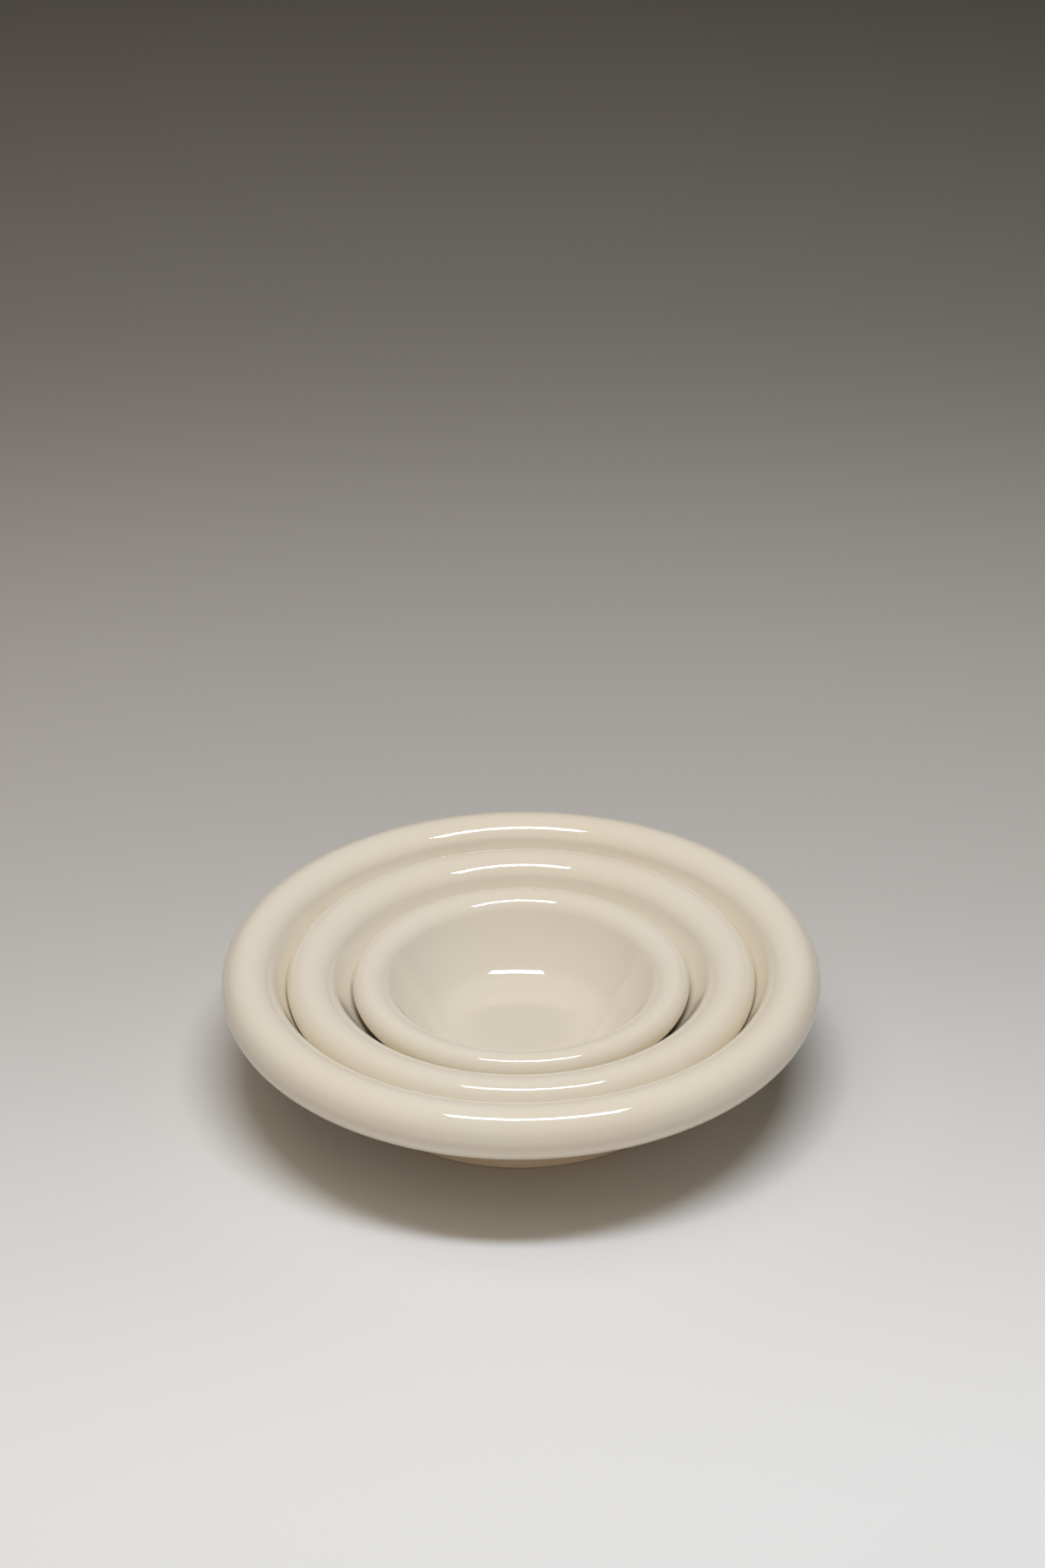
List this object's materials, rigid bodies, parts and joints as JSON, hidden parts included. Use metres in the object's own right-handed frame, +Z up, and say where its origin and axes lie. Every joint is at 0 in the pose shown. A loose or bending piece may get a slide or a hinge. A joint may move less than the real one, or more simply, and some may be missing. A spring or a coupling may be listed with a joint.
{
  "type": "nesting bowl set",
  "caption": "Round glazed ceramic bowls with fat rolled rims and foot rings, nested concentrically; each inner bowl lifts out upwards.",
  "frame": {"origin": "centre of the large bowl's foot ring, on the surface it stands on", "axes": "+Z up along the bowls' common axis; the bowls are round, so X and Y are any two level directions"},
  "size_m": [0.28, 0.2798, 0.0645],
  "materials": {
    "ivory_glaze": "high gloss ivory glaze, bare clay under the foot rings"
  },
  "bodies": {
    "large_bowl": {"large_bowl": "ivory_glaze"},
    "medium_bowl": {"medium_bowl": "ivory_glaze"},
    "small_bowl": {"small_bowl": "ivory_glaze"}
  },
  "joints": [
    {"name": "medium_bowl_lift", "type": "slide", "parent": "large_bowl", "child": "medium_bowl", "axis": [0, 0, 1], "range_m": [0, 0.08]},
    {"name": "small_bowl_lift", "type": "slide", "parent": "medium_bowl", "child": "small_bowl", "axis": [0, 0, 1], "range_m": [0, 0.07]}
  ]
}
